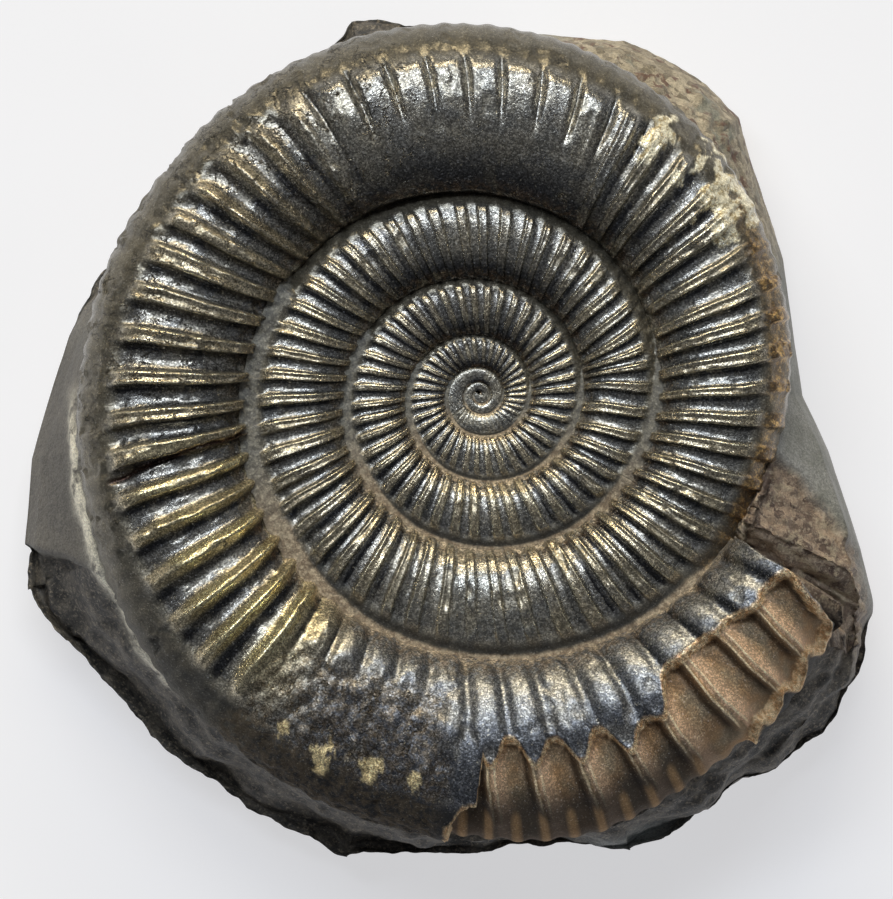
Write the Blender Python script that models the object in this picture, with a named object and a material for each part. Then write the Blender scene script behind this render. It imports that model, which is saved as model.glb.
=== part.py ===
"""Ammonite fossil still seated in its rock.

Two solids: the coiled shell, one ribbed spiral surface closed below by a plain rounded underside,
and the broken nodule that holds it, with a hollow that fits that underside.
The shell coils counter-clockwise seen from above, about an upright line through its eye.
Units are millimetres, turned into metres where the meshes are made; +Z is up.
The origin is under the middle of the whole piece, on the flat face that it rests on.
"""
import math

import bpy
import numpy as np

MM = 0.001

# The coil. Turns are counted from the place where the last whorl's seam crosses +X.
EYE_X = 2.88
EYE_Y = 3.88
MID_HEIGHT = 15.0
SEAM_RADIUS = 14.82
WHORL_GROWTH = 1.715
EARLY_GROWTH = 2.15
EARLY_TURN = -1.2
EARLY_BLEND = 0.12
MARGIN_OVER_NEXT_SEAM = 1.02
COIL_FLATTENING = 0.985
BROKEN_END_TURN = 0.917
WHORLS_SHOWN = 4

# The last whorl leans out a little on its upper side, and its outer edge is worn near its end.
LEAN = 0.075
LEAN_TURN = 0.236
LEAN_WIDTH = 0.167
WORN_EDGE_TURN = 0.79
WORN_EDGE_SLOPE = 1.25

# The whorl's section: half its breadth at the broken end, and how square its shoulders are.
END_HALF_BREADTH = 8.2
SECTION_SQUARENESS = 2.4
SEAM_LEVEL = 0.25
WHORL_ROWS = (0.0, 0.07, 0.24, 0.5, 0.77, 1.0)

# Ribs
RIBS_PER_TURN = 52
RIB_RELIEF = 0.8

# The hidden underside: share of the outline's radius, and height
UNDERSIDE = ((0.985, 12.2), (0.91, 8.6), (0.76, 6.9), (0.4, 6.5))
EYE_OFFSET = 0.7

# The rock: its plan as corners, each an angle in degrees and a distance from the eye of the coil
ROCK_CORNERS = (
    (0, 27.6), (18, 27.6), (37, 29.8), (50, 32.2), (60, 32.8), (71, 32.3), (82, 30.9), (92, 30.9),
    (99, 32.6), (110, 34.3), (116, 32.8), (128, 31.6), (152, 32.4), (166, 33.6), (178, 35.7),
    (188, 38.4), (203, 42.8), (211, 42.2), (216, 41.1), (232, 40.9), (254, 41.4), (270, 39.8),
    (290, 41.3), (303, 39.6), (325, 40.5), (330, 38.8), (338, 35.0), (351, 29.9),
)
ROCK_COLUMNS = 72
ROCK_RINGS = ((0.78, 0.0), (0.93, 1.3), (1.0, 5.0), (0.985, 8.6), (0.93, 11.8), (0.86, 14.2), (0.4, 15.4))
# The rock climbs against the broken end of the last whorl
HUMP_ANGLE = 336.0
HUMP_WIDTH = 17.0
HUMP_RISE = 3.6
HUMP_FOOT = 8.6
FIT_GAP = 0.3
CUTTER_TOP = 30.0

# Finish: colour (linear), roughness, metallic
SHELL_FINISH = ((0.055, 0.055, 0.055, 1.0), 0.35, 0.45)
ROCK_FINISH = ((0.075, 0.065, 0.052, 1.0), 0.75, 0.0)


def clear_scene():
    """Remove every object of the start-up scene."""
    for thing in list(bpy.data.objects):
        bpy.data.objects.remove(thing, do_unlink=True)


def make_material(name, finish):
    """A Principled material with one colour, roughness and metallic value."""
    colour, roughness, metallic = finish
    material = bpy.data.materials.new(name)
    material.use_nodes = True
    shader = material.node_tree.nodes["Principled BSDF"]
    shader.inputs["Base Color"].default_value = colour
    shader.inputs["Roughness"].default_value = roughness
    shader.inputs["Metallic"].default_value = metallic
    return material


def make_object(name, points, faces, material=None):
    """A mesh object from points in millimetres measured from the eye of the coil."""
    mesh = bpy.data.meshes.new(name)
    placed = (np.asarray(points) + (EYE_X, EYE_Y, 0.0)) * MM
    mesh.from_pydata(placed.tolist(), [], faces)
    mesh.update()
    thing = bpy.data.objects.new(name, mesh)
    bpy.context.scene.collection.objects.link(thing)
    if material:
        mesh.materials.append(material)
    return thing


def plan_point(turn, radius, height):
    """A point of the coil: the turn as an angle, with the plan slightly flattened along Y."""
    angle = 2.0 * math.pi * turn
    return (radius * math.cos(angle), COIL_FLATTENING * radius * math.sin(angle), height)


def seam_radius(turn):
    """A logarithmic spiral that grows by EARLY_GROWTH in each early turn and WHORL_GROWTH later."""
    early = EARLY_BLEND * math.log1p(math.exp((EARLY_TURN - turn) / EARLY_BLEND))
    return SEAM_RADIUS * WHORL_GROWTH ** turn * (WHORL_GROWTH / EARLY_GROWTH) ** early


def half_breadth(turn):
    """Half the whorl's breadth, in proportion to the seam's radius."""
    return END_HALF_BREADTH * seam_radius(turn) / seam_radius(BROKEN_END_TURN)


def margin_radius(turn):
    """The whorl's outer edge, just outside the line that the next whorl's seam follows."""
    lean = 1.0 + LEAN * math.exp(-((turn - LEAN_TURN) / LEAN_WIDTH) ** 2)
    worn = 1.0 - WORN_EDGE_SLOPE * max(0.0, turn - WORN_EDGE_TURN)
    return MARGIN_OVER_NEXT_SEAM * seam_radius(turn + 1.0) * lean * worn


def section_height(across):
    """Height of a whorl's section, 0 at its two edges and 1 on its flank (a superellipse)."""
    side = abs(2.0 * across - 1.0) ** SECTION_SQUARENESS
    return max(0.0, 1.0 - side) ** (1.0 / SECTION_SQUARENESS)


def seam_across():
    """Where the section reaches the seam's level, as a share of its width."""
    side = (1.0 - SEAM_LEVEL ** SECTION_SQUARENESS) ** (1.0 / SECTION_SQUARENESS)
    return 0.5 * (1.0 - side)


def shell_point(turn, row, crest, covered):
    """A point of the shell's upper face: row 0 lies on the inner seam, row 1 on the outer edge."""
    inner = seam_radius(turn)
    outer = margin_radius(turn)
    start = seam_across()
    across = start + (1.0 - start) * row
    radius = inner + (outer - inner) * row
    if covered:
        shown = (seam_radius(turn + 1.0) - inner) / (outer - inner)
        across = start + (1.0 - start) * row * shown
        radius = inner + (outer - inner) * row * shown
    relief = RIB_RELIEF * half_breadth(turn) / END_HALF_BREADTH if 0.0 < row < 1.0 else 0.0
    rib = 0.5 * relief if crest else -0.5 * relief
    return plan_point(turn, radius, MID_HEIGHT + half_breadth(turn) * section_height(across) + rib)


def shell_outline(end_turn, columns):
    """Turns along the free outer edge, one whole turn that ends at the broken end."""
    return [end_turn - 1.0 + i / columns for i in range(1, columns + 1)]


def add_underside(points, faces, loop, rings, middle):
    """Close a loop of points downwards with rings drawn in towards the eye, then a fan."""
    edge = list(loop)
    for share, height in rings:
        lower = []
        for index in loop:
            x, y, z = points[index]
            lower.append(len(points))
            points.append((share * x, share * y, height))
        faces.extend(skirt(edge, lower))
        edge = lower
    centre = len(points)
    points.append(middle)
    faces.extend([(edge[i], centre, edge[(i + 1) % len(edge)]) for i in range(len(edge))])


def skirt(upper, lower):
    """Quads between two closed loops that run counter-clockwise seen from above."""
    count = len(upper)
    return [(upper[i], lower[i], lower[(i + 1) % count], upper[(i + 1) % count]) for i in range(count)]


def beside_end(distance, height):
    """A point just inside the coil from the line of the broken end, so that a fan sees it whole."""
    angle = 2.0 * math.pi * BROKEN_END_TURN - math.pi / 2.0
    return (distance * math.cos(angle), distance * math.sin(angle), height)


def build_shell(material):
    """The ribbed spiral: whorls share their seam points, so the face is one unbroken surface."""
    columns = 2 * RIBS_PER_TURN
    last = WHORLS_SHOWN * columns
    rows = len(WHORL_ROWS) - 1
    points = []
    index = {}
    for i in range(last, -1, -1):
        turn = BROKEN_END_TURN - (last - i) / columns
        covered = i <= last - columns
        for j, row in enumerate(WHORL_ROWS):
            if covered and j == rows:
                index[i, j] = index[i + columns, 0]
                continue
            index[i, j] = len(points)
            points.append(shell_point(turn, row, i % 2 == 0, covered))
    faces = []
    for i in range(last):
        for j in range(rows):
            faces.append((index[i, j], index[i, j + 1], index[i + 1, j + 1], index[i + 1, j]))

    hole = [index[i, 0] for i in range(columns)] + [index[0, j] for j in range(rows, 0, -1)]
    centre = len(points)
    points.append(beside_end(EYE_OFFSET, MID_HEIGHT + half_breadth(-WHORLS_SHOWN) + 0.4))
    faces.extend([(hole[i], hole[(i + 1) % len(hole)], centre) for i in range(len(hole))])

    loop = [index[i, rows] for i in range(last - columns, last + 1)]
    loop += [index[last, j] for j in range(rows - 1, 0, -1)]
    add_underside(points, faces, loop, UNDERSIDE, beside_end(EYE_OFFSET, UNDERSIDE[-1][1] - 0.1))
    shell = make_object("ammonite", points, faces, material)
    shell.data.shade_smooth()
    shell.data.set_sharp_from_angle(angle=math.radians(50.0))
    return shell


def build_hollow():
    """The shell's outline and underside, larger all round by the gap and open far above."""
    columns = RIBS_PER_TURN
    end_turn = BROKEN_END_TURN + FIT_GAP / (2.0 * math.pi * seam_radius(BROKEN_END_TURN))
    rim = []
    for turn in shell_outline(end_turn, columns):
        x, y, z = plan_point(turn, margin_radius(turn), CUTTER_TOP)
        grow = 1.0 + 1.4 * FIT_GAP / math.hypot(x, y)
        rim.append((grow * x, grow * y, z))
    inner_end = plan_point(end_turn, seam_radius(end_turn) * 1.05, CUTTER_TOP)
    rim.append(inner_end)
    points = list(rim)
    loop = list(range(len(rim)))
    faces = [tuple(loop)]
    rings = [(1.0, MID_HEIGHT - FIT_GAP)]
    rings += [(share, height - FIT_GAP) for share, height in UNDERSIDE]
    add_underside(points, faces, loop, rings, beside_end(EYE_OFFSET, rings[-1][1] - 0.1))
    hollow = make_object("hollow_cutter", points, faces)
    hollow.hide_render = True
    hollow.display_type = "WIRE"
    return hollow


def rock_radius(angle):
    """Distance from the eye to the rock's outline, between the two corners beside the angle."""
    degrees = [corner[0] for corner in ROCK_CORNERS] + [360.0 + ROCK_CORNERS[0][0]]
    radii = [corner[1] for corner in ROCK_CORNERS] + [ROCK_CORNERS[0][1]]
    return float(np.interp(angle % 360.0, degrees, radii))


def rock_hump(angle, height):
    """Extra height of the upper rings beside the broken end of the last whorl."""
    spread = math.exp(-((angle - HUMP_ANGLE) / HUMP_WIDTH) ** 2)
    return HUMP_RISE * spread * max(0.0, height - HUMP_FOOT) / (ROCK_RINGS[-2][1] - HUMP_FOOT)


def build_rock(material, hollow):
    """The nodule as rings between its resting face and its top, less the shell's hollow."""
    step = 360.0 / ROCK_COLUMNS
    points = []
    rings = []
    for share, height in ROCK_RINGS:
        ring = []
        for i in range(ROCK_COLUMNS):
            radius = share * rock_radius(i * step)
            ring.append(len(points))
            angle = math.radians(i * step)
            top = height + rock_hump(i * step, height)
            points.append((radius * math.cos(angle), radius * math.sin(angle), top))
        rings.append(ring)
    faces = [tuple(reversed(rings[0])), tuple(rings[-1])]
    for lower, upper in zip(rings, rings[1:]):
        faces.extend(skirt(upper, lower))
    rock = make_object("rock_matrix", points, faces, material)
    cut = rock.modifiers.new("shell_hollow", "BOOLEAN")
    cut.operation = "DIFFERENCE"
    cut.solver = "EXACT"
    cut.object = hollow
    return rock


def main():
    clear_scene()
    build_shell(make_material("pyritised_shell", SHELL_FINISH))
    build_rock(make_material("nodule_rock", ROCK_FINISH), build_hollow())


main()
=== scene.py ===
# %% [markdown]
# # An ammonite in its rock
#
# The real thing is a coiled shell, some seventy millimetres across, that lies half sunk in a broken nodule.
# Minerals have replaced the shell, so it shines like dull dark metal. Near the broken end of the last whorl
# the shell has flaked away, and the brown mud that filled it shows.
#
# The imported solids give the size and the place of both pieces. This lesson replaces them with finer
# surfaces: first the coil as a formula, then its ribs, then the damage, then the rock, and last the
# finishes and the light.

import bpy
import numpy as np
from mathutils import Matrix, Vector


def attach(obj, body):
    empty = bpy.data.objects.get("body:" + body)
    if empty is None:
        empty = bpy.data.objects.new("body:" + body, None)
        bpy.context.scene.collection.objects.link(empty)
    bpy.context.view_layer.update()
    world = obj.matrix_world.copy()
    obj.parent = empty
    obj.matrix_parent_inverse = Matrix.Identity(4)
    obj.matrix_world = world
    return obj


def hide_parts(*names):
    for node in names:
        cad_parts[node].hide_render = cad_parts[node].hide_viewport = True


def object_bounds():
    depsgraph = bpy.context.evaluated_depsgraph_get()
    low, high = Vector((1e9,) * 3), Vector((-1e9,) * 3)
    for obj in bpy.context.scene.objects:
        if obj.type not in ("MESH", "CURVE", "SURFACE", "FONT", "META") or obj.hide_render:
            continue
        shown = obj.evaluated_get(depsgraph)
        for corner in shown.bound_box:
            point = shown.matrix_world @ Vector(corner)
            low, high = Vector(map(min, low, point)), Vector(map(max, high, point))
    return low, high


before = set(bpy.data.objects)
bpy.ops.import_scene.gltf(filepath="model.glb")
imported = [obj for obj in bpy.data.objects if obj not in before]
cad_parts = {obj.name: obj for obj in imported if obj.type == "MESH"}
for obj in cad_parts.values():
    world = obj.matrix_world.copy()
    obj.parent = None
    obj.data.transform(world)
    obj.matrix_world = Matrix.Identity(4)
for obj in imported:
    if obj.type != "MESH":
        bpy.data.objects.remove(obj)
cad_low, cad_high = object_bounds()
MM = 0.001
box_mm = [round((high - low) / MM, 1) for low, high in zip(cad_low, cad_high)]
print("solids:", sorted(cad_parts), "box in mm:", box_mm)

# %% [markdown]
# ## Random numbers that belong to a place
#
# A broken stone is irregular, but the same run has to give the same stone. Noise tied to a place does both:
# every corner of a lattice gets a fixed random number, made by scrambling its whole-number coordinates, and
# a point takes the smooth blend of the eight corners around it. Several sizes of the same noise added
# together look natural.

# %% Noise on whole arrays of points
SCRAMBLE = (374761393, 668265263, 2147483647)
SEED_SCRAMBLE = 1274126177
MIXER = 1103515245
KEPT_BITS = 0x7FFFFFFFFFFF
LOW_BITS = 0xFFFF


def lattice_value(cell, seed):
    """A fixed number from 0 to 1 for each whole-number cell: its coordinates multiplied, mixed and folded."""
    mixed = cell[..., 0] * SCRAMBLE[0] + cell[..., 1] * SCRAMBLE[1] + cell[..., 2] * SCRAMBLE[2]
    mixed = mixed + seed * SEED_SCRAMBLE
    mixed = (mixed ^ (mixed >> 13)) * MIXER & KEPT_BITS
    mixed = mixed ^ (mixed >> 16)
    return (mixed & LOW_BITS) / LOW_BITS


def noise(points, size, seed):
    """Noise from -1 to 1: corner values of a lattice of the given size, eased from corner to corner."""
    scaled = points / size
    cell = np.floor(scaled).astype(np.int64)
    part = scaled - cell
    part = part * part * (3.0 - 2.0 * part)
    total = np.zeros(points.shape[:-1])
    for corner in np.ndindex(2, 2, 2):
        weight = np.ones_like(total)
        for axis, side in enumerate(corner):
            weight *= part[..., axis] if side else 1.0 - part[..., axis]
        total += weight * lattice_value(cell + np.array(corner), seed)
    return 2.0 * total - 1.0


def rough(points, size, octaves, seed):
    """Noise of halving size and strength, added together."""
    layers = [noise(points, size / 2 ** k, seed + 31 * k) / 2 ** k for k in range(octaves)]
    return np.sum(layers, axis=0) / (2.0 - 0.5 ** (octaves - 1))


def facets(points, size, seed):
    """Flat chips: distance to the nearest of one random point per lattice cell, 0 in the middle of a chip."""
    scaled = points / size
    cell = np.floor(scaled).astype(np.int64)
    nearest = np.full(points.shape[:-1], np.inf)
    for step in np.ndindex(3, 3, 3):
        other = cell + np.array(step) - 1
        seat = np.stack([lattice_value(other, seed + 7 * k) for k in range(3)], axis=-1)
        nearest = np.minimum(nearest, np.linalg.norm(other + seat - scaled, axis=-1))
    return nearest


def ease(low, high, value):
    """0 below low and 1 above high, with a smooth S between them; low may be the larger."""
    part = np.clip((value - low) / (high - low), 0.0, 1.0)
    return part * part * (3.0 - 2.0 * part)


def bump_at(value, middle, width):
    """1 at the middle and falling to 0 on both sides, like a bell."""
    return np.exp(-((value - middle) / width) ** 2)


THREE_PLACES = np.array([[0.3, 0.2, 0.1], [5.3, 0.2, 0.1], [9.7, 4.1, 2.2]])
print("noise at three places:", np.round(noise(THREE_PLACES, 1.0, 3), 2))

# %% [markdown]
# ## The coil
#
# An ammonite grows by adding to the mouth of its tube, always in proportion to what is there. That makes
# the seam between two whorls a logarithmic spiral: its distance from the eye is multiplied by the same
# number in each turn. The first whorls grew a little faster, so the formula blends from one rate to
# another. All lengths here are millimetres, and a place along the shell is counted in turns, zero where the
# last whorl's seam crosses +X.

# %% The spiral and the whorl's section
EYE = np.array([2.88, 3.88])
MID_HEIGHT = 15.0
SEAM_RADIUS = 14.82
WHORL_GROWTH = 1.715
EARLY_GROWTH = 2.15
EARLY_TURN = -1.2
EARLY_BLEND = 0.12
MARGIN_OVER_NEXT_SEAM = 1.02
COIL_FLATTENING = 0.985
BROKEN_END = 0.917
LEAN = 0.075
LEAN_TURN = 0.236
LEAN_WIDTH = 0.167
WORN_EDGE_TURN = 0.79
WORN_EDGE_SLOPE = 1.22
TUCK = 0.03
TUCK_TURNS = (-0.04, -0.12)
END_HALF_BREADTH = 7.7
SQUARENESS = 2.4


def seam_radius(turn):
    """A logarithmic spiral that grows by EARLY_GROWTH in each early turn and WHORL_GROWTH later."""
    early = EARLY_BLEND * np.log1p(np.exp((EARLY_TURN - turn) / EARLY_BLEND))
    return SEAM_RADIUS * WHORL_GROWTH ** turn * (WHORL_GROWTH / EARLY_GROWTH) ** early


def half_breadth(turn):
    """Half the whorl's breadth, in proportion to the seam's radius."""
    return END_HALF_BREADTH * seam_radius(turn) / seam_radius(BROKEN_END)


def margin_radius(turn):
    """The whorl's outer edge: just outside the next seam, leaning out at the top and worn at the broken end.

    Whorls before the last are a little wider, so that their edge is tucked under the next seam.
    """
    lean = 1.0 + LEAN * bump_at(turn, LEAN_TURN, LEAN_WIDTH)
    worn = 1.0 - WORN_EDGE_SLOPE * np.maximum(0.0, turn - WORN_EDGE_TURN)
    tucked = 1.0 + TUCK * ease(*TUCK_TURNS, turn)
    return MARGIN_OVER_NEXT_SEAM * seam_radius(turn + 1.0) * lean * worn * tucked


def section(around):
    """The whorl's outline as a superellipse: share of its width and height from -1 to 1.

    around runs from 0 at the inner edge over the upper flank to 0.5 at the outer edge, and back below to 1.
    """
    angle = 2.0 * np.pi * around
    power = 2.0 / SQUARENESS
    across = 0.5 - 0.5 * np.sign(np.cos(angle)) * np.abs(np.cos(angle)) ** power
    height = np.sign(np.sin(angle)) * np.abs(np.sin(angle)) ** power
    return across, height


def plan(turn, radius):
    """Plan coordinates for a turn and a distance from the eye; the coil is slightly flattened along Y."""
    angle = 2.0 * np.pi * turn
    return EYE[0] + radius * np.cos(angle), EYE[1] + COIL_FLATTENING * radius * np.sin(angle)


four_turns = np.array([0.0, 0.25, 0.5, 0.75])
print("last whorl's margin in mm at four places:", np.round(margin_radius(four_turns), 1))

# %% [markdown]
# ## The ribs
#
# The shell is stiffened by close ribs that cross the flank. On this shell each is a flat-topped bar with
# two sharp edges and a hollow valley on either side, so a plain sine wave would look wrong. The rib's
# number is counted along the coil from a few counted places, and what is left after taking away the nearest
# whole number is the distance from the crest. Each rib gets its own small error in place, width and height,
# because no two are alike.
#
# Wear has changed the bars. At the top of the coil only narrow grooves are left, on the left the bars are
# rounded, and at the bottom they are broad low lumps. The mud that filled the shell has ribs of its own:
# narrow ridges, with troughs that fall slowly on one side and rise steeply on the other.

# %% Rib count and profile
RIB_TURNS = (-6.0, -4.0, -3.0, -1.991, -1.329, -1.181, -1.02, -0.932, -0.317, -0.175, -0.017, 0.003,
             0.640, 0.753, 0.915, 1.1)
RIB_COUNTS = (-230.0, -170.0, -132.0, -94.0, -65.0, -59.0, -52.0, -48.0, -17.0, -10.0, -1.0, 0.0,
              34.0, 40.0, 48.0, 57.0)
FLANK_TURNS = (-1.3, -1.0, -0.93, -0.75, -0.68, -0.6, -0.33, -0.25, -0.18, 0.0, 0.16, 0.25, 0.345, 0.39,
               0.62, 0.65, 0.70, 0.92)
FLANK_RELIEF = (0.9, 0.85, 0.8, 0.5, 0.6, 0.9, 0.8, 0.4, 0.8, 0.85, 0.8, 0.55, 0.8, 1.0,
                1.0, 0.7, 0.55, 0.6)
RIB_RELIEF = 1.35
MEAN_PROFILE = 0.4
CREST_HALF_WIDTH = 0.16
EDGE_WIDTH = 0.028
VALLEY_RISE = 0.30
GROOVES_BEGIN = (0.14, 0.20)
GROOVES_END = (0.36, 0.31)
ROUND_TURNS = (0.27, 0.31, 0.40, 0.43, 0.52, 0.56)
ROUND_SHARES = (0.0, 0.85, 0.85, 0.0, 0.0, 0.95)
ROUND_HEIGHTS = (0.80, 0.72)
ROUND_HEIGHTS_CHANGE = 0.47
ROUND_WIDTH = 0.19
LUMP_TURNS = (0.63, 0.67)
TROUGH_FOOT = 0.74
TROUGH_FALL = 0.65
RISE_START = 0.70
RISE_LENGTH = 0.20
RIDGE_HALF_WIDTH = 0.075
BEND_IN = 0.3
BEND_REACH = 0.16
BEND_OUT = 0.10
PINCH_TURN = -0.965
PINCH_WIDTH = 0.035
PINCH = 1.1
random_rib = np.random.default_rng(7)
RIB_ERRORS = random_rib.uniform(-1.0, 1.0, (3, 256))


def rib_count(turn):
    """How many ribs lie between turn zero and a place along the coil."""
    return np.interp(turn, RIB_TURNS, RIB_COUNTS)


def rib_phase(turn, across):
    """Distance from the nearest rib's crest, in ribs, and that rib's number.

    Each rib bends near both edges of the whorl, and at one place two ribs are pinched together.
    """
    bend = BEND_IN * np.exp(-np.maximum(across, 0.0) / BEND_REACH) - BEND_OUT * ease(0.6, 0.9, across)
    from_pinch = turn - PINCH_TURN
    pinched = turn + PINCH * from_pinch * bump_at(from_pinch, 0.0, PINCH_WIDTH) * (1.0 - across)
    count = rib_count(pinched) + bend
    count = count + 0.05 * np.sin(0.9 * count) + 0.03 * np.sin(2.3 * count + 1.0)
    number = np.round(count)
    return count - number, number.astype(int)


def rib_profile(offset, number):
    """Height of a rib, 0 in the valley and 1 on top, and masks of its crest and its two sharp edges."""
    place, width, height = RIB_ERRORS[:, number % RIB_ERRORS.shape[1]]
    distance = np.abs(offset - 0.06 * place)
    half = CREST_HALF_WIDTH + 0.03 * width
    crest = 1.0 - ease(half - 0.01, half + 0.09, distance)
    valley = VALLEY_RISE * np.clip(1.0 - (distance - half) / (0.5 - half), 0.0, 1.0) ** 2
    edge = bump_at(distance, half, EDGE_WIDTH)
    top = 0.9 + 0.1 * edge - 0.06 * bump_at(distance, 0.0, 0.06)
    return (valley + (top - valley) * crest) * (1.0 + 0.18 * height), crest, edge


def worn_profile(turn, across, offset, profile, crest):
    """Wears the ribs down along the last whorl: new profile, new crest and how sharp the edges still are."""
    groove = ease(*GROOVES_BEGIN, turn) * ease(*GROOVES_END, turn)
    bar = np.interp(turn, ROUND_TURNS, ROUND_SHARES)
    lump = ease(*LUMP_TURNS, turn)
    height = np.where(turn < ROUND_HEIGHTS_CHANGE, *ROUND_HEIGHTS)
    rounded = 0.10 + height * bump_at(offset, 0.0, ROUND_WIDTH) * ease(1.3, 0.6, across)
    profile = profile + bar * (rounded - profile)
    grooved = 1.0 - 0.9 * bump_at(np.abs(offset), 0.5, 0.10) * ease(0.35, 0.75, across)
    between = bump_at(np.abs(offset), 0.5, 0.20)
    hollow = 0.50 * between * ease(0.75, 0.15, across)
    swelling = 0.12 * bump_at(across, 0.42, 0.12) * (1.0 - between)
    lumpy = 0.70 - hollow + swelling
    profile = profile + groove * (grooved - profile) + lump * (lumpy - profile)
    return profile, crest * (1.0 - groove) * (1.0 - lump), 1.0 - np.maximum(bar, np.maximum(groove, lump))


def falling_side(offset):
    """1 beside a ridge on the side where the trough falls slowly, fading to 0 at its foot."""
    return np.clip((TROUGH_FOOT - offset % 1.0) / TROUGH_FALL, 0.0, 1.0)


def trough_profile(offset):
    """The filling's own ribs: their height, and a mask of the two fine edges that each narrow ridge has."""
    distance = np.abs(offset)
    rising = np.clip((offset % 1.0 - RISE_START) / RISE_LENGTH, 0.0, 1.0) ** 1.5
    edge = bump_at(distance, RIDGE_HALF_WIDTH, EDGE_WIDTH)
    sides = np.maximum(falling_side(offset) ** 1.2, rising)
    return sides + 0.12 * edge - 0.12 * bump_at(distance, 0.0, 0.035), edge


def flank_relief(turn):
    """How strongly the ribs stand out along the coil: they are low where the shell is worn."""
    return np.interp(turn, FLANK_TURNS, FLANK_RELIEF)


print("ribs on the last whorl:", round(float(rib_count(BROKEN_END) - rib_count(BROKEN_END - 1.0))))

# %% [markdown]
# ## Damage and stains
#
# What makes this shell itself, and not any shell, is where it is worn. The outer layer has flaked off near
# the broken end in scalloped windows, a rough scar lies on the lower left flank, a crack runs along one
# rib, and crusts of bright crystals sit on the upper right shoulder and beside the scar. Each starts from
# the distance to an edge, so that one number can lower the surface, sharpen its rim and change its colour.

# %% Where the shell is damaged
MOULD_TURNS = (0.70, 0.7485, 0.751, 0.779, 0.8025, 0.8215, 0.832, 0.844, 0.871, 0.886, 0.917)
MOULD_INNER = (36.6, 35.3, 29.4, 30.3, 30.5, 31.5, 30.6, 28.2, 28.2, 28.9, 29.8)
MOULD_OUTER_TURNS = (0.80, 0.845, 0.862, 0.917)
MOULD_OUTER = (60.0, 41.0, 36.9, 35.9)
MOULD_ENDS = (0.739, 0.915)
MOULD_FROM = 0.68
FAR_OUTSIDE = -9.0
PENDANT_TURNS = (0.75, 0.81, 0.835, 0.85, 0.917)
PENDANT_LENGTH = (2.4, 2.2, 1.2, 0.3, 0.5)
CRACK_TURN = 0.5245
CRACK_SLANT = 0.0011
CRACK_REACH = (20.0, 32.2)
SCAR_TURNS = (0.645, 0.735)
SCAR_INNER = 25.5
CRYSTAL_SPOTS = ((0.131, 27.0, 2.9), (0.098, 26.8, 3.2), (0.114, 26.8, 3.2), (0.155, 26.6, 2.2),
                 (0.666, 33.2, 1.2), (0.685, 33.9, 1.9), (0.705, 33.6, 1.6), (0.7236, 33.6, 1.2))
CHIP_TURNS = (-1.0, -0.6, -0.4, 0.0, 0.1, 0.2, 0.28, 0.32, 0.36, 0.42, 0.47, 0.53, 0.6, 0.66, 0.75, 0.92)
CHIP_STRENGTH = (0.3, 0.4, 0.42, 0.35, 0.5, 0.42, 0.45, 0.75, 0.62, 0.75, 0.66, 0.5, 0.42, 0.45, 0.4, 0.3)


def mould_distance(points, turn, radius, offset):
    """How far inside the bare brown area a point lies, in mm.

    Its inner edge is a row of arches, one in each valley, with shell left hanging along the ribs between
    them; its outer edge is rounded in the same way.
    """
    rib = (0.5 + 0.5 * np.cos(2.0 * np.pi * offset)) ** 1.5
    inner = np.interp(turn, MOULD_TURNS, MOULD_INNER) + np.interp(turn, PENDANT_TURNS, PENDANT_LENGTH) * rib
    outer = np.interp(turn, MOULD_OUTER_TURNS, MOULD_OUTER) - 0.9 * rib
    ragged = 0.40 * rough(points, 1.8, 3, 11)
    sides = np.minimum(turn - MOULD_ENDS[0], MOULD_ENDS[1] - turn) * 2.0 * np.pi * radius
    return np.minimum(np.minimum(radius - inner, outer - radius), sides) + ragged


def crack_distance(points, turn, radius):
    """Distance from a jagged line that follows one rib outwards."""
    line = CRACK_TURN + CRACK_SLANT * (radius - CRACK_REACH[0])
    jag = 0.35 * rough(points, 2.2, 3, 23)
    beyond = np.maximum(0.0, np.maximum(CRACK_REACH[0] - radius, radius - CRACK_REACH[1]))
    return np.abs((turn - line) * 2.0 * np.pi * radius + jag) + beyond


def scar_mask(points, turn, radius):
    """1 on the rough scar, with an uneven border."""
    sides = np.minimum(turn - SCAR_TURNS[0], SCAR_TURNS[1] - turn) * 2.0 * np.pi * radius
    inside = np.minimum(sides, radius - SCAR_INNER)
    return ease(-0.8, 1.2, inside + 1.6 * rough(points, 4.0, 3, 37))


def crystal_mask(points, turn, radius):
    """Crusts of bright crystals: soft round spots, broken up by noise."""
    total = np.zeros_like(radius)
    for spot_turn, spot_radius, size in CRYSTAL_SPOTS:
        along = (turn - spot_turn) * 2.0 * np.pi * radius
        total = np.maximum(total, 1.0 - np.hypot(1.3 * along, 0.8 * (radius - spot_radius)) / size)
    return ease(0.35, 0.45, total + 1.3 * rough(points, 1.3, 4, 41)) * ease(0.02, 0.15, total)


# %% [markdown]
# ## The shell's surface
#
# The surface is a function of two numbers: how far along the coil, and how far around the tube. The smooth
# tube comes first. Every feature then moves its points along the outward direction: ribs, finer ribs over
# the outer edge, dents, the thickness of the lost shell layer, chips and grain. The same call returns the
# masks that the finish needs, so colour and shape always agree. Old dirt fills the step between an inner
# whorl and the next one outside it, which is why the section is raised to a level there.

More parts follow.
